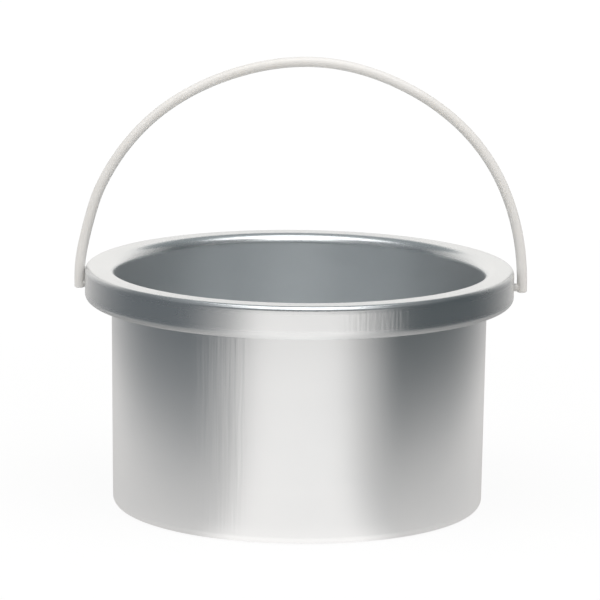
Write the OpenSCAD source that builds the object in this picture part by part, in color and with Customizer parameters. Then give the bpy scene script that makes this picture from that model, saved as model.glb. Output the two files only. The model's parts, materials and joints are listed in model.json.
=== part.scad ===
// Lift-out inner pot of a wax warmer: a deep-drawn aluminium pot with a
// rolled-over collar, and a moulded plastic bail that snaps into it.
//
// Millimetres, +Z up. The origin is on the pot's axis, at the underside of
// its base. The bail hinges about a line along X and is drawn upright.

/* [Pot body] */
// Height from the underside of the base to the top of the rim
pot_h = 67.5; // [60:0.5:90]
// Outside diameter of the wall just under the collar
body_d = 105; // [95:0.5:108]
// How much narrower in diameter the wall is at its foot
body_draft = 1.2; // [0:0.1:4]
// Outside radius between the base and the wall
foot_r = 2.2; // [1.2:0.1:6]
// Thickness of the aluminium sheet
sheet = 0.8; // [0.5:0.1:0.9]

/* [Rim and collar] */
// Outside diameter of the collar, the pot's widest part
collar_d = 120; // [118:0.5:130]
// Height of the collar, from its turned-in edge to the top of the rim
collar_h = 9.3; // [8.5:0.1:14]
// Radius over which the wall rolls out into the flat rim
mouth_r = 3.1; // [1.4:0.1:3.6]
// Outside radius between the flat rim and the collar
shoulder_r = 1.3; // [1:0.1:1.6]
// Outside radius over which the collar's lower edge turns in
curl_r = 1.8; // [1.2:0.1:2]
// Flat width of the turned-in edge, inward from the curl
return_w = 2; // [1:0.1:2.2]

/* [Bail] */
// Thickness of the bail's round section
bail_rod_d = 2.8; // [2.2:0.1:4]
// Gap between each leg and the collar when the bail is centred
leg_gap = 0.5; // [0.4:0.1:1.2]
// Sideways play taken up towards +X, as the bail sits in use
side_play = 0.35; // [-0.35:0.05:0.35]
// Height of the pivot above the collar's lower edge
pivot_rise = 4; // [3.8:0.1:4.8]
// Height of the arch's centre above the pivot
arch_rise = 1.2; // [0.8:0.1:4]
// How far each leg runs on below the pivot
leg_drop = 1.4; // [1.2:0.1:1.6]
// Radius of the rounding at the foot of each leg
leg_foot_r = 0.5; // [0.2:0.1:0.6]

/* [Snap pegs] */
// Diameter of the peg that the bail turns on
peg_d = 2.2; // [1.8:0.1:2.4]
// Clearance all round a peg in its hole
peg_clearance = 0.05; // [0.03:0.01:0.1]
// Diameter of the snap head inside the collar
head_d = 3; // [2.6:0.1:3]
// Diameter of the snap head's nose
nose_d = 1.6; // [1:0.1:1.8]
// Length of the snap head
head_l = 1.4; // [1:0.1:1.6]
// End play of each head behind the collar's wall when the bail is centred
head_play = 0.5; // [0.4:0.1:0.8]

/* [Hidden] */
$fn = 120;

// Pot, measured from the axis and the base
wall_r = body_d / 2;
foot_wall_r = wall_r - body_draft / 2;
collar_r = collar_d / 2;
collar_z = pot_h - collar_h;
straight_z = collar_z - 2;           // the wall is a true cylinder above this
mouth_c_r = wall_r - sheet + mouth_r; // centre of the roll at the mouth
mouth_c_z = pot_h - mouth_r;
shoulder_c_r = collar_r - shoulder_r;
shoulder_c_z = pot_h - shoulder_r;
curl_c_r = collar_r - curl_r;
curl_c_z = collar_z + curl_r;
return_r = curl_c_r - return_w;      // centre of the rounded raw edge

// Bail
pivot_z = collar_z + pivot_rise;
arch_z = pivot_z + arch_rise;
rod_r = bail_rod_d / 2;
arch_r = collar_r + leg_gap + rod_r; // to the middle of the section
leg_foot_z = pivot_z - leg_drop;
head_x = collar_r - sheet - head_play; // the head's shoulder

module quarter_bend(outer_r, quadrant) {
    // A 90 degree bend in the sheet, centred on the origin
    intersection() {
        difference() {
            circle(r = outer_r);
            circle(r = outer_r - sheet);
        }
        rotate(90 * quadrant) square(outer_r + 1);
    }
}

module sheet_section() {
    // Base, foot radius and drafted wall
    square([foot_wall_r - foot_r, sheet]);
    translate([foot_wall_r - foot_r, foot_r]) quarter_bend(foot_r, 3);
    polygon([
        [foot_wall_r, foot_r],
        [wall_r, straight_z],
        [wall_r - sheet, straight_z],
        [foot_wall_r - sheet, foot_r]
    ]);
    translate([wall_r - sheet, straight_z]) square([sheet, mouth_c_z - straight_z]);

    // Mouth, flat rim and shoulder
    translate([mouth_c_r, mouth_c_z]) quarter_bend(mouth_r, 1);
    translate([mouth_c_r, pot_h - sheet]) square([shoulder_c_r - mouth_c_r, sheet]);
    translate([shoulder_c_r, shoulder_c_z]) quarter_bend(shoulder_r, 0);

    // Collar, curl and turned-in edge, whose raw end is rounded
    translate([collar_r - sheet, curl_c_z]) square([sheet, shoulder_c_z - curl_c_z]);
    translate([curl_c_r, curl_c_z]) quarter_bend(curl_r, 3);
    translate([return_r, collar_z]) square([return_w, sheet]);
    translate([return_r, collar_z + sheet / 2]) circle(d = sheet);
}

module peg_holes() {
    for (side = [-1, 1])
        translate([side * (collar_r - sheet / 2), 0, pivot_z])
            rotate([0, 90, 0])
                cylinder(d = peg_d + 2 * peg_clearance, h = 4 * sheet, center = true);
}

module pot() {
    color("gainsboro")
        difference() {
            rotate_extrude() sheet_section();
            peg_holes();
        }
}

module arch() {
    translate([0, 0, arch_z])
        rotate([90, 0, 0])
            rotate_extrude(angle = 180) translate([arch_r, 0]) circle(r = rod_r);
}

module leg() {
    // Half section of a rod with a rounded foot, turned about its own axis
    rotate_extrude() {
        translate([0, leg_foot_z]) square([rod_r - leg_foot_r, arch_z - leg_foot_z]);
        translate([0, leg_foot_z + leg_foot_r])
            square([rod_r, arch_z - leg_foot_z - leg_foot_r]);
        intersection() {
            translate([rod_r - leg_foot_r, leg_foot_z + leg_foot_r]) circle(r = leg_foot_r);
            translate([0, leg_foot_z]) square([rod_r, leg_foot_r]);
        }
    }
}

module snap_peg() {
    // Lies along -X from the leg's axis: shank, then a head that tapers to its nose
    reach = arch_r - head_x;
    rotate([0, -90, 0]) {
        cylinder(d = peg_d, h = reach);
        translate([0, 0, reach]) cylinder(d1 = head_d, d2 = nose_d, h = head_l);
    }
}

module bail() {
    color("whitesmoke")
        translate([side_play, 0, 0]) {
            arch();
            for (side = [0, 1])
                mirror([side, 0, 0])
                    translate([arch_r, 0, 0]) {
                        leg();
                        translate([0, 0, pivot_z]) snap_peg();
                    }
        }
}

pot();
bail();
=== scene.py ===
"""A wax warmer's lift-out pot and its snap-in bail, shown in a plain white studio.

Every length is in metres, +Z is up, and the origin is at the middle of the pot's base.
"""

import json
import logging
import math
from collections.abc import Callable
from dataclasses import dataclass
from enum import Enum

import bmesh
import bpy
from mathutils import Matrix, Quaternion, Vector

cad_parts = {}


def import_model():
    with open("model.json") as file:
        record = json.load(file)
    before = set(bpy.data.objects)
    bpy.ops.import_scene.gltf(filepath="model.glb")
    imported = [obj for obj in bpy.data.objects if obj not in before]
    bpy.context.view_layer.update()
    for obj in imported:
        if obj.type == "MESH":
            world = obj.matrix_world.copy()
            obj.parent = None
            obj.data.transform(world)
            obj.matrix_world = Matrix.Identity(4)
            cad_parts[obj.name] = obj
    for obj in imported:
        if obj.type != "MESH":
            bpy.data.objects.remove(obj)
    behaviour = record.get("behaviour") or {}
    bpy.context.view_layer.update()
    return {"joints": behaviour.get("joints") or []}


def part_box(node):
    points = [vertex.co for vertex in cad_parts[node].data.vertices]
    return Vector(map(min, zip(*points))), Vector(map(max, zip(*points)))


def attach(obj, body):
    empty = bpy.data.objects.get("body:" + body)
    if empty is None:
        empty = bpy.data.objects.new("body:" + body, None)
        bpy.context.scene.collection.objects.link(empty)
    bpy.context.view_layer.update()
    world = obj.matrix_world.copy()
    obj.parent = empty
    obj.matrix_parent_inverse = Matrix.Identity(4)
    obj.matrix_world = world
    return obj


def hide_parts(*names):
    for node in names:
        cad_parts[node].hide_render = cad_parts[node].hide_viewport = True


LOG = logging.getLogger("wax_pot")
MM = 0.001
FULL_TURN = 2 * math.pi
SAME_PLACE = 0.002 * MM
Colour = tuple[float, float, float]


# ---------------------------------------------------------------- shader graphs


class Value:
    """A number that a shader works out. In Python arithmetic, each operator adds a Math node."""

    def __init__(self, graph: "Graph", socket: bpy.types.NodeSocket) -> None:
        """Wraps one output socket of the graph."""
        self.graph = graph
        self.socket = socket

    def math(self, operation: str, *others: "Value | float") -> "Value":
        """Adds a Math node.

        Args:
            operation: Blender's name for what the node does.
            others: the node's second and third numbers.

        Returns:
            The node's result.
        """
        links = dict(enumerate((self, *others)))
        made = self.graph.node("ShaderNodeMath", {"operation": operation}, links)
        return Value(self.graph, made.outputs[0])

    def _swapped(self, operation: str, first: float) -> "Value":
        """Adds a Math node in which this value comes second."""
        made = self.graph.node("ShaderNodeMath", {"operation": operation}, {0: first, 1: self})
        return Value(self.graph, made.outputs[0])

    def __add__(self, other: "Value | float") -> "Value":
        """This plus other."""
        return self.math("ADD", other)

    def __radd__(self, other: float) -> "Value":
        """Other plus this."""
        return self.math("ADD", other)

    def __sub__(self, other: "Value | float") -> "Value":
        """This less other."""
        return self.math("SUBTRACT", other)

    def __rsub__(self, other: float) -> "Value":
        """Other less this."""
        return self._swapped("SUBTRACT", other)

    def __mul__(self, other: "Value | float") -> "Value":
        """This times other."""
        return self.math("MULTIPLY", other)

    def __rmul__(self, other: float) -> "Value":
        """Other times this."""
        return self.math("MULTIPLY", other)

    def __truediv__(self, other: "Value | float") -> "Value":
        """This over other."""
        return self.math("DIVIDE", other)

    def step(self, start: float, end: float) -> "Value":
        """0 up to start, 1 from end on, and smooth between them.

        Args:
            start: where the rise begins.
            end: where it ends.

        Returns:
            The step, from 0 to 1.
        """
        made = self.graph.node(
            "ShaderNodeMapRange",
            {"interpolation_type": "SMOOTHSTEP"},
            {"Value": self, "From Min": start, "From Max": end},
        )
        return Value(self.graph, made.outputs[0])


class Graph:
    """The nodes of one material or of the world."""

    def __init__(self, tree: bpy.types.NodeTree) -> None:
        """Empties the tree and takes it over."""
        tree.nodes.clear()
        self.tree = tree

    def node(
        self, kind: str, settings: dict | None = None, links: dict | None = None
    ) -> bpy.types.Node:
        """Adds any node.

        Args:
            kind: Blender's type name.
            settings: the node's own settings, set first.
            links: a number, a colour, a socket or a Value for each input, by name or place.

        Returns:
            The node.
        """
        made = self.tree.nodes.new(kind)
        for name, value in (settings or {}).items():
            setattr(made, name, value)
        for key, value in (links or {}).items():
            source = value.socket if isinstance(value, Value) else value
            if isinstance(source, bpy.types.NodeSocket):
                self.tree.links.new(source, made.inputs[key])
            else:
                made.inputs[key].default_value = source
        return made

    def value(self, socket: bpy.types.NodeSocket) -> Value:
        """A socket as a Value."""
        return Value(self, socket)

    def vector(self, x: Value | float, y: Value | float, z: Value | float) -> bpy.types.NodeSocket:
        """Three numbers as one vector."""
        return self.node("ShaderNodeCombineXYZ", links={0: x, 1: y, 2: z}).outputs[0]

    def noise(self, place: bpy.types.NodeSocket, scale: float, detail: float = 2.0) -> Value:
        """Soft noise from 0 to 1.

        Args:
            place: the vector that it is read at.
            scale: features per unit of that vector.
            detail: how many finer layers it has.

        Returns:
            The noise.
        """
        made = self.node(
            "ShaderNodeTexNoise",
            {"noise_dimensions": "3D"},
            {"Vector": place, "Scale": scale, "Detail": detail},
        )
        return self.value(made.outputs[0])

    def blend(self, share: Value | float, first: object, second: object) -> bpy.types.NodeSocket:
        """A colour between two others."""
        made = self.node("ShaderNodeMix", {"data_type": "RGBA"}, {0: share, 6: first, 7: second})
        return made.outputs[2]

    def mix_shaders(self, share: Value, first: bpy.types.Node, second: bpy.types.Node) -> bpy.types.Node:
        """A shader between two others, given as their nodes."""
        return self.node(
            "ShaderNodeMixShader", links={0: share, 1: first.outputs[0], 2: second.outputs[0]}
        )

    def finish(self, shader: bpy.types.Node) -> None:
        """Makes a shader what the material shows."""
        self.node("ShaderNodeOutputMaterial", links={"Surface": shader.outputs[0]})


def new_material(name: str) -> tuple[bpy.types.Material, Graph]:
    """An empty material and its graph. What glows in it is met by reflections, not sampled as a lamp."""
    material = bpy.data.materials.new(name)
    material.use_nodes = True
    material.cycles.emission_sampling = "NONE"
    return material, Graph(material.node_tree)


# ---------------------------------------------------------------- finishes


class GrooveDirection(Enum):
    """Which way the finest polishing grooves run, as Blender turns its anisotropy."""

    ROUND_THE_AXIS = 0.25
    ALONG_THE_AXIS = 0.0


@dataclass(frozen=True)
class PotZones:
    """Where the pot's parts begin and end, for a finish that differs from part to part.

    Each pair is where a soft change starts and ends. The pairs called rises are
    heights above the collar's lower edge.
    """

    collar_low: float
    collar_radius: float
    draft: float = 0.0107
    wall_middle: tuple[float, float] = (51.3 * MM, 51.7 * MM)
    wall_top_rise: tuple[float, float] = (-2.0 * MM, 0.0)
    collar_depth: tuple[float, float] = (2.6 * MM, 2.0 * MM)
    curl_rise: tuple[float, float] = (1.0 * MM, 2.0 * MM)
    collar_foot_rise: tuple[float, float] = (1.4 * MM, 2.4 * MM)
    shoulder_rise: tuple[float, float] = (7.0 * MM, 8.0 * MM)
    rim_rise: tuple[float, float] = (5.5 * MM, 7.5 * MM)


class PotPlace:
    """Where a shaded point lies on the pot, with masks from 0 to 1 for the pot's parts."""

    def __init__(self, graph: Graph, zones: PotZones) -> None:
        """Reads the point's place and works the masks out.

        Args:
            graph: the material's nodes.
            zones: where the pot's parts begin and end.
        """
        self.graph = graph
        self.zones = zones
        self.point = graph.node("ShaderNodeTexCoord").outputs["Object"]
        split = graph.node("ShaderNodeSeparateXYZ", links={0: self.point})
        x, y, self.z = (graph.value(socket) for socket in split.outputs)
        self.radius = (x * x + y * y).math("SQRT")
        # Never 0, so that the middle of the base has a direction too
        away = self.radius + 0.1 * MM
        self.round_x, self.round_y = x / away, y / away

        outermost = self.radius.step(*(zones.collar_radius - depth for depth in zones.collar_depth))
        self.on_curl = outermost * (1 - self.rise(zones.curl_rise))
        self.on_collar = outermost * self.rise(zones.collar_foot_rise)
        self.on_collar = self.on_collar * (1 - self.rise(zones.shoulder_rise))
        self.worked = self.on_collar.math("MAXIMUM", self.rise(zones.rim_rise))
        self.outside = (self.radius - self.z * zones.draft).step(*zones.wall_middle)
        self.outside = self.outside * (1 - self.rise(zones.wall_top_rise))

    def rise(self, between: tuple[float, float]) -> Value:
        """0 below the first height above the collar's lower edge, and 1 above the second."""
        return self.z.step(*(self.zones.collar_low + height for height in between))

    def turned(self, share: float, height: Value | float) -> bpy.types.NodeSocket:
        """A vector for noise: the direction from the axis, scaled by a share, and a height."""
        return self.graph.vector(self.round_x * share, self.round_y * share, height)


@dataclass(frozen=True)
class DrawnAluminium:
    """Bare drawn aluminium, polished lightly on a lathe.

    Lathe lines run round the pot, drawing lines run up its wall, and the sheet is
    puckered where it was drawn in to make the collar.
    """

    colour: Colour = (0.905, 0.925, 0.935)
    tarnish: Colour = (0.87, 0.895, 0.91)
    tarnish_share: float = 0.5
    smudge_scale: float = 45.0
    smudge_between: tuple[float, float] = (0.4, 0.8)
    roughness: float = 0.33
    collar_roughness: float = 0.27
    curl_roughness: float = 0.52
    mottle: float = 0.015
    anisotropy: float = 0.5
    grooves: GrooveDirection = GrooveDirection.ROUND_THE_AXIS
    radius_share: float = 1.3
    lathe_pitch: float = 0.9 * MM
    lathe_depth: float = 0.0015 * MM
    lathe_wander: float = 0.12
    lathe_share_inside: float = 0.5
    mottle_pitch: float = 2.7 * MM
    mottle_wander: float = 0.7
    draw_lines_round: float = 60.0
    draw_stretch: float = 0.7
    draw_depth: float = 0.06 * MM
    draw_share: float = 0.15
    draw_patch: tuple[float, float] = (-0.42, 0.12)
    draw_patch_fade: tuple[float, float] = (0.8, 1.6)
    pucker_lines_round: float = 78.0
    pucker_stretch: float = 1.5
    pucker_depth: float = 0.03 * MM
    pucker_patches_round: float = 2.6
    pucker_patches_start: float = 0.7
    pucker_between: tuple[float, float] = (0.5, 0.66)
    pucker_share_curl: float = 0.3

    def material(self, zones: PotZones) -> bpy.types.Material:
        """Makes the material.

        Args:
            zones: where the pot's parts begin and end.

        Returns:
            The material.
        """
        material, graph = new_material("drawn_aluminium")
        place = PotPlace(graph, zones)
        height = self.lathe_height(place) + self.draw_height(place) + self.pucker_height(place)
        bump = graph.node("ShaderNodeBump", links={"Strength": 1.0, "Distance": 1.0, "Height": height})
        smudge = graph.noise(place.point, self.smudge_scale, 3.0)
        dulled = smudge.step(*self.smudge_between) * self.tarnish_share
        shader = graph.node(
            "ShaderNodeBsdfPrincipled",
            links={
                "Base Color": graph.blend(dulled, (*self.colour, 1), (*self.tarnish, 1)),
                "Metallic": 1.0,
                "Roughness": self.polish(place, smudge),
                "Anisotropic": self.anisotropy,
                "Anisotropic Rotation": self.grooves.value,
                "Normal": bump.outputs[0],
            },
        )
        graph.finish(shader)
        return material

    def along(self, place: PotPlace) -> Value:
        """How far along the sheet's section a point lies, near enough for the lathe's lines."""
        return place.z + place.radius * self.radius_share

    def lathe_height(self, place: PotPlace) -> Value:
        """Height of the lines that the lathe left, gentler inside and on the rim."""
        lines = place.turned(self.lathe_wander, self.along(place) / self.lathe_pitch)
        share = place.outside * (1 - self.lathe_share_inside) + self.lathe_share_inside
        return place.graph.noise(lines, 1.0, 1.0) * share * self.lathe_depth

    def draw_height(self, place: PotPlace) -> Value:
        """Height of the upright drawing lines on the wall's outside, deepest in one patch."""
        lines = place.turned(1.0, place.z * self.draw_stretch)
        middle, half = self.draw_patch
        near, far = (half * share for share in self.draw_patch_fade)
        patch = place.round_x.step(middle - far, middle - near)
        patch = patch * (1 - place.round_x.step(middle + near, middle + far))
        share = patch * (1 - self.draw_share) + self.draw_share
        share = share * place.outside
        return place.graph.noise(lines, self.draw_lines_round, 1.0) * share * self.draw_depth

    def pucker_height(self, place: PotPlace) -> Value:
        """Height of the upright puckers, in patches round the collar and faintly all round its curl."""
        lines = place.turned(1.0, place.z * self.pucker_stretch)
        patches = place.turned(1.0, self.pucker_patches_start)
        patches = place.graph.noise(patches, self.pucker_patches_round, 0.0).step(*self.pucker_between)
        share = patches * place.on_collar + place.on_curl * self.pucker_share_curl
        return place.graph.noise(lines, self.pucker_lines_round, 0.0) * share * self.pucker_depth

    def polish(self, place: PotPlace, smudge: Value) -> Value:
        """Roughness: the rim and the collar are brighter than the wall, and the curl is duller.

        Args:
            place: where the point lies.
            smudge: noise that mottles the roughness.

        Returns:
            The roughness.
        """
        bands = place.turned(self.mottle_wander, self.along(place) / self.mottle_pitch)
        broad = place.graph.noise(bands, 1.0, 1.0)
        polished = place.worked * (self.collar_roughness - self.roughness) + self.roughness
        polished = polished + place.on_curl * (self.curl_roughness - self.roughness)
        return polished + (smudge - 0.5) * self.mottle + (broad - 0.5) * self.mottle


@dataclass(frozen=True)
class MilkyPlastic:
    """Natural polypropylene, moulded, which lets some light through."""

    colour: Colour = (0.82, 0.80, 0.775)
    cloud: Colour = (0.785, 0.765, 0.735)
    roughness: float = 0.38
    depth_of_light: float = 2.0 * MM
    cloud_scale: float = 60.0
    cloud_between: tuple[float, float] = (0.35, 0.75)
    mottle: float = 0.1

    def material(self) -> bpy.types.Material:
        """Makes the material."""
        material, graph = new_material("milky_plastic")
        place = graph.node("ShaderNodeTexCoord").outputs["Object"]
        cloud = graph.noise(place, self.cloud_scale)
        clouded = cloud.step(*self.cloud_between)
        shader = graph.node(
            "ShaderNodeBsdfPrincipled",
            links={
                "Base Color": graph.blend(clouded, (*self.colour, 1), (*self.cloud, 1)),
                "Roughness": self.roughness + (cloud - 0.5) * self.mottle,
                "IOR": 1.49,
                "Subsurface Weight": 1.0,
                "Subsurface Radius": (1.0, 1.0, 1.0),
                "Subsurface Scale": self.depth_of_light,
            },
        )
        graph.finish(shader)
        return material


# ---------------------------------------------------------------- modelling steps


def start_piece(name: str, add: Callable, **settings: object) -> bpy.types.Object:
    """Adds a primitive with nothing else selected, puts its place into its mesh, and opens it.

    Args:
        name: the new object's name.
        add: the operator that adds the primitive.
        settings: the operator's settings.

    Returns:
        The new object.
    """
    bpy.ops.object.select_all(action="DESELECT")
    add(**settings)
    piece = bpy.context.object
    piece.name = name
    piece.data.name = name
    bpy.ops.object.transform_apply(location=True, rotation=True, scale=True)
    bpy.ops.object.mode_set(mode="EDIT")
    return piece


def choose(test: Callable[[Vector], bool]) -> int:
    """Selects the open mesh's points that pass a test of their place, and nothing else.

    Args:
        test: takes a point's place.

    Returns:
        How many points are selected.
    """
    bpy.ops.mesh.select_all(action="DESELECT")
    mesh = bpy.context.object.data
    edit = bmesh.from_edit_mesh(mesh)
    chosen = [point for point in edit.verts if test(point.co)]
    for point in chosen:
        point.select_set(True)
    edit.select_flush_mode()
    bmesh.update_edit_mesh(mesh)
    return len(chosen)


def near(place: Vector) -> Callable[[Vector], bool]:
    """A test for points at one place."""
    return lambda point: (point - place).length < SAME_PLACE


def leave_edit_mode() -> None:
    """Goes back to object mode, which writes the edited mesh."""
    bpy.ops.object.mode_set(mode="OBJECT")


def apply_modifier(piece: bpy.types.Object, kind: str, **settings: object) -> None:
    """Adds one modifier and applies it.

    Args:
        piece: what it is added to.
        kind: Blender's name for the modifier.
        settings: the modifier's settings.
    """
    bpy.ops.object.select_all(action="DESELECT")
    piece.select_set(True)
    bpy.context.view_layer.objects.active = piece
    modifier = piece.modifiers.new(kind.title(), kind)
    for name, value in settings.items():
        setattr(modifier, name, value)
    bpy.ops.object.modifier_apply(modifier=modifier.name)


def cut_or_join(piece: bpy.types.Object, tool: bpy.types.Object, operation: str) -> None:
    """Cuts a piece with a tool body, or joins the two, and removes the tool.

    Args:
        piece: what is changed.
        tool: the other body.
        operation: DIFFERENCE or UNION.
    """
    apply_modifier(piece, "BOOLEAN", operation=operation, solver="EXACT", object=tool)
    bpy.data.objects.remove(tool)


def smooth(piece: bpy.types.Object, angle: float) -> None:
    """Shades a piece smooth, apart from edges sharper than an angle."""
    bpy.ops.object.select_all(action="DESELECT")
    piece.select_set(True)
    bpy.context.view_layer.objects.active = piece
    bpy.ops.object.shade_smooth_by_angle(angle=angle)


def wear(piece: bpy.types.Object, material: bpy.types.Material) -> None:
    """Gives a piece its one material."""
    piece.data.materials.clear()
    piece.data.materials.append(material)


# ---------------------------------------------------------------- the pot


@dataclass
class DrawnPot:
    """The pot: one sheet, from the middle of the base to the raw edge under the collar.

    The section is drawn on the side of the sheet that faces into the pot, up and out
    of the collar. The sheet's thickness is then added behind it.
    """

    height: float
    collar_radius: float
    pivot_height: float
    finish: DrawnAluminium
    sheet: float = 0.8 * MM
    wall_radius: float = 51.7 * MM
    foot_radius_inside: float = 51.1 * MM
    foot_round: float = 1.4 * MM
    draft_top: float = 56 * MM
    mouth_round: float = 3.1 * MM
    shoulder_round: float = 1.35 * MM
    curl_round: float = 1.8 * MM
    collar_height: float = 9.3 * MM
    raw_edge_radius: float = 55.8 * MM
    raw_edge_round: float = 0.39 * MM
    hole_diameter: float = 2.3 * MM
    crease: float = math.radians(32)
    steps_round: int = 360

    def build(self) -> bpy.types.Object:
        """Makes the finished pot."""
        piece = self.draw_section()
        self.spin_section(piece)
        self.thicken(piece)
        self.pierce(piece)
        smooth(piece, self.crease)
        zones = PotZones(collar_low=self.height - self.collar_height, collar_radius=self.collar_radius)
        wear(piece, self.finish.material(zones))
        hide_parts("pot")
        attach(piece, "pot")
        return piece

    def draw_section(self) -> bpy.types.Object:
        """Draws the section as a line in the XZ plane, with its corners rounded."""
        collar_low = self.height - self.collar_height
        middle = Vector((0, 0, self.sheet))
        foot = Vector((self.foot_radius_inside, 0, self.sheet))
        kink = Vector((self.wall_radius, 0, self.draft_top))
        mouth = Vector((self.wall_radius, 0, self.height))
        shoulder = Vector((self.collar_radius, 0, self.height))
        curl = Vector((self.collar_radius, 0, collar_low))
        raw_edge = Vector((self.raw_edge_radius, 0, collar_low))
        piece = start_piece("pot_body", bpy.ops.mesh.primitive_plane_add, size=self.sheet)
        bpy.ops.mesh.merge(type="CENTER")
        bpy.ops.transform.translate(value=middle)
        corners = (middle, foot, kink, mouth, shoulder, curl, raw_edge)
        for start, end in zip(corners, corners[1:]):
            bpy.ops.mesh.extrude_vertices_move(TRANSFORM_OT_translate={"value": end - start})
        # Each corner with its radius and its number of segments
        rounds = (
            (foot, self.foot_round, 10),
            (mouth, self.mouth_round, 22),
            (shoulder, self.shoulder_round, 18),
            (curl, self.curl_round, 14),
        )
        for corner, reach, segments in rounds:
            choose(near(corner))
            bpy.ops.mesh.bevel(
                offset=reach, segments=segments, profile=0.5, affect="VERTICES", clamp_overlap=False
            )
        self.divide_straights(collar_low)
        return piece

    def divide_straights(self, collar_low: float) -> None:
        """Divides the section's straight lengths, so that its shading stays even.

        Args:
            collar_low: height of the collar's lower edge.
        """
        slack = 0.01 * MM
        floor_end = self.foot_radius_inside - self.foot_round + slack
        wall_low = self.sheet + self.foot_round - slack
        wall_end = self.height - self.mouth_round + slack
        rim_start = self.wall_radius + self.mouth_round - slack
        rim_end = self.collar_radius - self.shoulder_round + slack
        collar_start = collar_low + self.curl_round - slack
        collar_end = self.height - self.shoulder_round + slack
        wall_side = self.wall_radius + slack
        collar_side = self.collar_radius - slack
        # Each length with its number of cuts
        straights = (
            (lambda p: p.z < self.sheet + slack and p.x < floor_end, 11),
            (lambda p: p.x < wall_side and wall_low < p.z < self.draft_top + slack, 15),
            (lambda p: p.x < wall_side and self.draft_top - slack < p.z < wall_end, 3),
            (lambda p: p.z > self.height - slack and rim_start < p.x < rim_end, 4),
            (lambda p: p.x > collar_side and collar_start < p.z < collar_end, 5),
            (lambda p: abs(p.z - collar_low) < slack and p.x > self.raw_edge_radius - slack, 2),
        )
        for test, cuts in straights:
            choose(test)
            bpy.ops.mesh.subdivide(number_cuts=cuts)

    def spin_section(self, piece: bpy.types.Object) -> None:
        """Turns the section once round the pot's axis."""
        leave_edit_mode()
        apply_modifier(
            piece,
            "SCREW",
            angle=FULL_TURN,
            steps=self.steps_round,
            render_steps=self.steps_round,
            axis="Z",
            use_merge_vertices=True,
            merge_threshold=SAME_PLACE,
        )
        bpy.ops.object.mode_set(mode="EDIT")
        bpy.ops.mesh.select_all(action="SELECT")
        bpy.ops.mesh.remove_doubles(threshold=SAME_PLACE)
        bpy.ops.mesh.normals_make_consistent(inside=False)
        leave_edit_mode()
        floor = min(piece.data.polygons, key=lambda face: face.center.xy.length)
        if floor.normal.z < 0:
            piece.data.flip_normals()

    def thicken(self, piece: bpy.types.Object) -> None:
        """Adds the sheet's thickness behind the drawn side, and rounds its raw edge."""
        apply_modifier(
            piece,
            "SOLIDIFY",
            thickness=self.sheet,
            offset=-1,
            use_even_offset=True,
            use_quality_normals=True,
        )
        bpy.ops.object.mode_set(mode="EDIT")
        choose(lambda point: abs(point.xy.length - self.raw_edge_radius) < SAME_PLACE)
        bpy.ops.mesh.bevel(offset=self.raw_edge_round, segments=4, profile=0.5, affect="EDGES")
        leave_edit_mode()

    def pierce(self, piece: bpy.types.Object) -> None:
        """Cuts the two round holes for the bail's pegs through the collar's wall."""
        punch = start_piece(
            "punch",
            bpy.ops.mesh.primitive_cylinder_add,
            vertices=48,
            radius=self.hole_diameter / 2,
            depth=4 * self.sheet,
            location=(self.collar_radius - self.sheet / 2, 0, self.pivot_height),
            rotation=(0, math.pi / 2, 0),
        )
        bpy.ops.mesh.duplicate()
        bpy.ops.transform.translate(value=(-2 * self.collar_radius + self.sheet, 0, 0))
        leave_edit_mode()
        cut_or_join(piece, punch, "DIFFERENCE")


# ---------------------------------------------------------------- the bail


@dataclass(frozen=True)
class Flex:
    """A place where the springy arch stands a little in or out of its true round.

    Its angle is in degrees, from the leg at +X up over the top. It moves outwards,
    and what lies within its reach follows, less and less.
    """

    angle: float
    outwards: float
    reach: float


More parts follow.
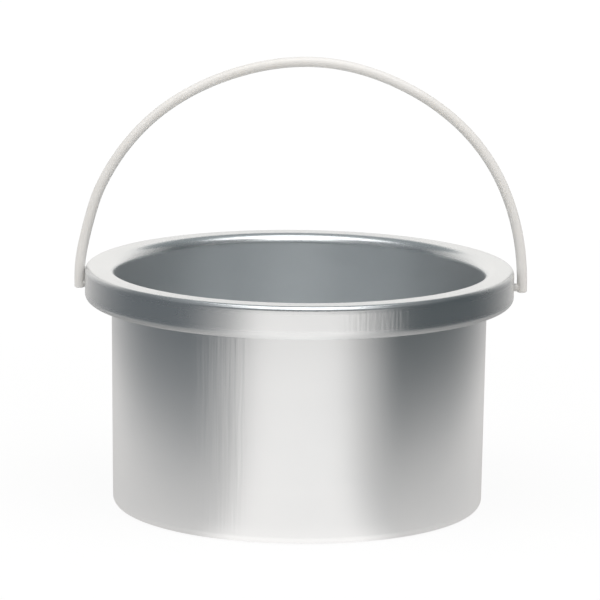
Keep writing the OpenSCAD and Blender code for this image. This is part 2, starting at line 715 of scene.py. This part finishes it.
@dataclass
class MouldedBail:
    """The bail: a round arch, two straight leg ends and two snap pegs, in one moulding."""

    centre_x: float
    half_width: float
    top: float
    pivot_height: float
    finish: MilkyPlastic
    rod_radius: float = 1.4 * MM
    leg_drop: float = 1.4 * MM
    foot_round: float = 0.5 * MM
    peg_radius: float = 1.1 * MM
    head_radius: float = 1.5 * MM
    nose_radius: float = 0.8 * MM
    head_length: float = 1.4 * MM
    head_shoulder: float = 58.7 * MM
    parting_ridge: float = 0.04 * MM
    flexes: tuple[Flex, ...] = (
        Flex(36, 0.65 * MM, 34 * MM),
        Flex(109, -0.5 * MM, 30 * MM),
        Flex(166, -0.35 * MM, 11 * MM),
    )
    flex_hold: float = 1.6
    lip_share: float = 0.25
    nose_round: float = 0.2 * MM
    crease: float = math.radians(40)
    points_round: int = 48
    steps_over: int = 180

    @property
    def arch_radius(self) -> float:
        """Radius of the arch to the middle of the rod."""
        return self.half_width - self.rod_radius

    @property
    def arch_height(self) -> float:
        """Height of the arch's centre."""
        return self.top - self.half_width

    def build(self) -> bpy.types.Object:
        """Makes the finished bail."""
        piece = self.spin_arch()
        for side in (-1, 1):
            cut_or_join(piece, self.make_peg(side), "UNION")
        smooth(piece, self.crease)
        wear(piece, self.finish.material())
        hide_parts("bail")
        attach(piece, "bail")
        return piece

    def spin_arch(self) -> bpy.types.Object:
        """Spins the rod's round section over the top, then draws both ends down as legs."""
        centre = Vector((self.centre_x, 0, self.arch_height))
        piece = start_piece(
            "bail_handle",
            bpy.ops.mesh.primitive_circle_add,
            vertices=self.points_round,
            radius=self.rod_radius,
            location=centre + Vector((self.arch_radius, 0, 0)),
        )
        # The two points on the mould's parting line stand a little proud
        choose(lambda point: abs(point.y) < SAME_PLACE)
        bpy.ops.transform.resize(value=(1 + self.parting_ridge / self.rod_radius, 1, 1))
        bpy.ops.mesh.select_all(action="SELECT")
        bpy.ops.mesh.spin(
            steps=self.steps_over, angle=math.pi, center=centre, axis=(0, 1, 0), use_auto_merge=False
        )
        self.drop_legs()
        for flex in self.flexes:
            self.bend(centre, flex)
        leave_edit_mode()
        return piece

    def bend(self, centre: Vector, flex: Flex) -> None:
        """Moves the arch in or out about one place.

        Args:
            centre: the arch's centre.
            flex: where, how far and how softly.
        """
        angle = math.radians(flex.angle)
        outwards = Vector((math.cos(angle), 0, math.sin(angle)))
        place = centre + outwards * self.arch_radius
        choose(lambda point: (point - place).length < self.flex_hold * self.rod_radius)
        bpy.ops.transform.translate(
            value=outwards * flex.outwards,
            use_proportional_edit=True,
            proportional_edit_falloff="SMOOTH",
            proportional_size=flex.reach,
        )

    def drop_legs(self) -> None:
        """Draws both ends of the rod straight down, closes them and rounds their feet."""
        foot = self.pivot_height - self.leg_drop
        ends = self.arch_height
        choose(lambda point: abs(point.z - ends) < SAME_PLACE)
        bpy.ops.mesh.extrude_region_move(TRANSFORM_OT_translate={"value": (0, 0, foot - ends)})
        for side in (-1, 1):
            choose(lambda point: point.z < foot + SAME_PLACE and point.x * side > 0)
            bpy.ops.mesh.edge_face_add()
        choose(lambda point: point.z < foot + SAME_PLACE)
        bpy.ops.mesh.bevel(offset=self.foot_round, segments=6, profile=0.5, affect="EDGES")
        bpy.ops.mesh.select_all(action="SELECT")
        bpy.ops.mesh.normals_make_consistent(inside=False)

    def make_peg(self, side: int) -> bpy.types.Object:
        """Makes one snap peg, from inside its leg to its nose.

        Args:
            side: -1 for the peg at -X, 1 for the other.

        Returns:
            The peg, as a body of its own.
        """
        shank = self.arch_radius - self.head_shoulder
        nose = self.head_shoulder - self.head_length
        piece = start_piece(
            "peg",
            bpy.ops.mesh.primitive_cylinder_add,
            vertices=48,
            radius=self.peg_radius,
            depth=shank,
            location=(self.arch_radius - shank / 2, 0, self.pivot_height),
            rotation=(0, math.pi / 2, 0),
        )
        choose(lambda point: point.x < self.head_shoulder + SAME_PLACE)
        steps = (
            (self.head_radius / self.peg_radius, 0),
            (1, self.lip_share * self.head_length),
            (self.nose_radius / self.head_radius, (1 - self.lip_share) * self.head_length),
        )
        for scale, length in steps:
            bpy.ops.mesh.extrude_region_move(TRANSFORM_OT_translate={"value": (-length, 0, 0)})
            bpy.ops.transform.resize(value=(1, scale, scale))
        choose(lambda point: point.x < nose + SAME_PLACE)
        bpy.ops.mesh.bevel(offset=self.nose_round, segments=3, profile=0.5, affect="EDGES")
        leave_edit_mode()
        if side < 0:
            piece.data.transform(Matrix.Rotation(math.pi, 4, "Z"))
        piece.data.transform(Matrix.Translation((self.centre_x, 0, 0)))
        return piece


# ---------------------------------------------------------------- the studio


@dataclass(frozen=True)
class Viewpoint:
    """Where the camera stands, and how it is aimed and turned."""

    distance: float = 1.3
    elevation: float = math.radians(13.36)
    aim: tuple[float, float, float] = (0.0002, 0, 0.0579)
    roll: float = math.radians(0.66)
    lens: float = 275.9
    sensor: float = 36.0

    def set_camera(self) -> None:
        """Makes the camera and gives it to the scene."""
        data = bpy.data.cameras.new("camera")
        data.lens = self.lens
        data.sensor_width = self.sensor
        camera = bpy.data.objects.new("camera", data)
        bpy.context.scene.collection.objects.link(camera)
        back = Vector((0, -math.cos(self.elevation), math.sin(self.elevation)))
        camera.location = back * self.distance
        look = Vector(self.aim) - camera.location
        camera.rotation_mode = "QUATERNION"
        camera.rotation_quaternion = look.to_track_quat("-Z", "Y") @ Quaternion((0, 0, 1), self.roll)
        bpy.context.scene.camera = camera


@dataclass(frozen=True)
class Flag:
    """A dark card, bent round the object on the floor, that only reflections see.

    It fades in and out between angles in degrees from -Y, where the camera stands,
    towards its own side. Its upright edges lean the other way by some degrees between
    two heights.
    """

    name: str
    side: int
    fade_in: tuple[float, float]
    fade_out: tuple[float, float]
    radius: float = 187 * MM
    centre_y: float = 50 * MM
    height: float = 400 * MM
    lean: float = 6.0
    lean_between: tuple[float, float] = (28 * MM, 48 * MM)
    tone: Colour = (0.075, 0.087, 0.094)


@dataclass(frozen=True)
class Studio:
    """A white floor, a pale room, one big soft light above the camera, and dark cards.

    Reflections see the floor as white paper with a painted strip of light towards the camera. Beside the
    strip it has painted shade, darkest where it is looked down on, a painted sheen at low angles, and
    painted shade close to the pot.
    """

    floor_half: float = 6.0
    floor_gap: float = 0.05 * MM
    bare_within: tuple[float, float] = (48.5 * MM, 49.5 * MM)
    floor_tone: Colour = (0.90, 0.895, 0.885)
    floor_shown: float = 1.02
    shadow_share: float = 0.12
    shadow_between: tuple[float, float] = (0.10, 0.45)
    paper_share_reflected: float = 0.1
    # Painted light and shade on the floor, which only reflections see
    painted_light_strip_tone: float = 1.19
    painted_light_strip_edge: tuple[float, float] = (17.0, 38.0)
    painted_shade_beside_tone: float = 0.74
    painted_shade_steep_tone: float = 0.25
    painted_sheen_between: tuple[float, float] = (0.35, 0.7)
    painted_sheen_foot_between: tuple[float, float] = (56 * MM, 75 * MM)
    painted_shade_close_tone: float = 0.91
    painted_shade_close_between: tuple[float, float] = (50 * MM, 240 * MM)
    warmth: tuple[float, float] = (0.965, 0.94)
    room_tone: Colour = (0.23, 0.255, 0.265)
    fill_tone: Colour = (0.40, 0.40, 0.40)
    backdrop_tone: Colour = (0.90, 0.88, 0.855)
    backdrop_radius: float = 1.2
    backdrop_height: float = 0.9
    backdrop_start_y: float = 0.1
    key_size: tuple[float, float] = (2.4, 1.05)
    key_place: tuple[float, float, float] = (0, -0.38, 1.03)
    key_radiance: float = 1.7
    flags: tuple[Flag, ...] = (
        Flag("flag_left", -1, (16, 46), (70, 172), lean=9.0, tone=(0.115, 0.128, 0.138)),
        Flag("flag_right", 1, (21, 43), (75, 172), radius=190 * MM, tone=(0.075, 0.087, 0.093)),
        Flag(
            "flag_front",
            1,
            (-50, -40),
            (40, 50),
            radius=700 * MM,
            centre_y=0,
            height=340 * MM,
            tone=(0.09, 0.1, 0.105),
        ),
    )

    def build(self) -> None:
        """Sets up everything but the camera."""
        self.set_world()
        self.lay_floor()
        self.hang_key()
        for flag in self.flags:
            self.stand_flag(flag)
        self.stand_backdrop()

    def set_world(self) -> None:
        """White to the camera, a dim room to reflections, and a soft fill to dull surfaces."""
        world = bpy.data.worlds.new("studio")
        bpy.context.scene.world = world
        world.use_nodes = True
        graph = Graph(world.node_tree)
        path = graph.node("ShaderNodeLightPath")
        camera = graph.value(path.outputs["Is Camera Ray"])
        glossy = graph.value(path.outputs["Is Glossy Ray"])
        tone = graph.blend(glossy, (*self.fill_tone, 1), (*self.room_tone, 1))
        tone = graph.blend(camera, tone, (1, 1, 1, 1))
        shader = graph.node("ShaderNodeBackground", links={"Color": tone})
        graph.node("ShaderNodeOutputWorld", links={"Surface": shader.outputs[0]})

    def lay_floor(self) -> None:
        """A white floor that keeps the object's shadow, and isn't there from below or under the base."""
        piece = start_piece(
            "floor",
            bpy.ops.mesh.primitive_plane_add,
            size=2 * self.floor_half,
            location=(0, 0, -self.floor_gap),
        )
        leave_edit_mode()
        material, graph = new_material("white_paper")
        path = graph.node("ShaderNodeLightPath")
        camera = graph.value(path.outputs["Is Camera Ray"])
        glossy = graph.value(path.outputs["Is Glossy Ray"])
        place = graph.node("ShaderNodeTexCoord").outputs["Object"]
        split = graph.node("ShaderNodeSeparateXYZ", links={0: place})
        x, y = (graph.value(split.outputs[index]) for index in (0, 1))
        away = (x * x + y * y).math("SQRT")

        # Camera rays see plain white; reflections see the floor's painted light and shade
        tone = camera * self.floor_shown + (1 - camera) * self.painted_reflected_tone(graph, x, y, away)
        green, blue = (tone * (camera * (1 - share) + share) for share in self.warmth)
        paper = graph.node("ShaderNodeBsdfDiffuse", links={"Color": (*self.floor_tone, 1)})
        white = graph.node("ShaderNodeEmission", links={"Color": graph.vector(tone, green, blue)})
        shown = away.step(*self.shadow_between) * self.shadow_share + (1 - self.shadow_share)
        share = camera * shown + glossy * (1 - self.paper_share_reflected)
        lit = graph.mix_shaders(share, paper, white)
        clear = graph.node("ShaderNodeBsdfTransparent")
        below = graph.value(graph.node("ShaderNodeNewGeometry").outputs["Backfacing"])
        bare = below.math("MAXIMUM", 1 - away.step(*self.bare_within))
        mixed = graph.mix_shaders(bare, lit, clear)
        graph.finish(mixed)
        wear(piece, material)

    def painted_reflected_tone(self, graph: Graph, x: Value, y: Value, away: Value) -> Value:
        """The painted light and shade that reflections see on the floor.

        Args:
            graph: the floor's nodes.
            x: the point's place along X.
            y: its place along Y.
            away: its distance from the pot's axis.

        Returns:
            The brightness, where 1 is white.
        """
        # Painted light: a strip of the floor towards the camera is painted brighter for reflections
        turned = x.math("ABSOLUTE").math("ARCTAN2", y * -1) * math.degrees(1)
        strip = 1 - turned.step(*self.painted_light_strip_edge)
        # Painted sheen: the floor is painted brighter where it is seen at a low angle, and all round
        # close to the foot
        sheen = graph.value(graph.node("ShaderNodeLayerWeight").outputs["Facing"])
        sheen = sheen.step(*self.painted_sheen_between)
        sheen = sheen.math("MAXIMUM", 1 - away.step(*self.painted_sheen_foot_between))
        # Painted shade: beside the strip the floor is painted darker, darkest where reflections look
        # steeply down on it
        beside = sheen * (self.painted_shade_beside_tone - self.painted_shade_steep_tone) + self.painted_shade_steep_tone
        tone = strip * (self.painted_light_strip_tone - beside) + beside
        # Painted shade close to the pot, where its shadow falls on the floor
        return tone * (away.step(*self.painted_shade_close_between) * (1 - self.painted_shade_close_tone) + self.painted_shade_close_tone)

    def hang_key(self) -> None:
        """The soft light overhead."""
        data = bpy.data.lights.new("key", "AREA")
        data.shape = "RECTANGLE"
        data.size, data.size_y = self.key_size
        data.energy = self.key_radiance * math.pi * self.key_size[0] * self.key_size[1]
        light = bpy.data.objects.new("key", data)
        light.location = self.key_place
        light.rotation_mode = "QUATERNION"
        light.rotation_quaternion = (-Vector(self.key_place)).to_track_quat("-Z", "Y")
        light.visible_camera = False
        bpy.context.scene.collection.objects.link(light)

    def stand_flag(self, flag: Flag) -> None:
        """Stands one dark card on the floor, as a ring that is clear past the card's soft edges."""
        piece = start_piece(
            flag.name,
            bpy.ops.mesh.primitive_cylinder_add,
            vertices=180,
            radius=flag.radius,
            depth=flag.height,
            end_fill_type="NOTHING",
            location=(0, flag.centre_y, flag.height / 2),
        )
        leave_edit_mode()
        material, graph = new_material(flag.name)
        place = graph.node("ShaderNodeTexCoord").outputs["Object"]
        split = graph.node("ShaderNodeSeparateXYZ", links={0: place})
        x, y, z = (graph.value(socket) for socket in split.outputs)
        turned = (x * flag.side).math("ARCTAN2", flag.centre_y - y) * math.degrees(1)
        turned = turned + z.step(*flag.lean_between) * flag.lean
        share = turned.step(*flag.fade_in) * (1 - turned.step(*flag.fade_out))
        clear = graph.node("ShaderNodeBsdfTransparent")
        card = graph.node("ShaderNodeEmission", links={"Color": (*flag.tone, 1)})
        mixed = graph.mix_shaders(share, clear, card)
        graph.finish(mixed)
        wear(piece, material)
        self.only_reflected(piece)

    def stand_backdrop(self) -> None:
        """Stands a white half ring behind the object."""
        piece = start_piece(
            "backdrop",
            bpy.ops.mesh.primitive_cylinder_add,
            vertices=96,
            radius=self.backdrop_radius,
            depth=self.backdrop_height,
            end_fill_type="NOTHING",
            location=(0, 0, self.backdrop_height / 2),
        )
        choose(lambda point: point.y < self.backdrop_start_y)
        bpy.ops.mesh.delete(type="VERT")
        leave_edit_mode()
        material, graph = new_material("backdrop")
        shader = graph.node("ShaderNodeEmission", links={"Color": (*self.backdrop_tone, 1)})
        graph.finish(shader)
        wear(piece, material)
        self.only_reflected(piece)

    def only_reflected(self, piece: bpy.types.Object) -> None:
        """Leaves a piece of the stage to reflections alone."""
        piece.visible_camera = False
        piece.visible_diffuse = False
        piece.visible_shadow = False


# ---------------------------------------------------------------- main


def main() -> None:
    """Loads the frame, builds the studio, the pot and the bail from the parts' boxes, and logs their
    points and faces.
    """
    logging.basicConfig(level=logging.INFO, format="%(name)s: %(message)s")
    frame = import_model()
    bpy.context.scene.view_settings.view_transform = "Standard"
    Viewpoint().set_camera()
    Studio().build()

    pot_low, pot_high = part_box("pot")
    bail_low, bail_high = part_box("bail")
    hinge = next(joint for joint in frame["joints"] if joint["name"] == "bail_hinge")
    pivot_height = hinge["pos_m"][2]
    pot = DrawnPot(
        height=pot_high.z,
        collar_radius=(pot_high.y - pot_low.y) / 2,
        pivot_height=pivot_height,
        finish=DrawnAluminium(),
    ).build()
    bail = MouldedBail(
        centre_x=(bail_low.x + bail_high.x) / 2,
        half_width=(bail_high.x - bail_low.x) / 2,
        top=bail_high.z,
        pivot_height=pivot_height,
        finish=MilkyPlastic(),
    ).build()
    for piece in (pot, bail):
        mesh = piece.data
        LOG.info("%s: %d points, %d faces", piece.name, len(mesh.vertices), len(mesh.polygons))


if __name__ == "__main__":
    main()
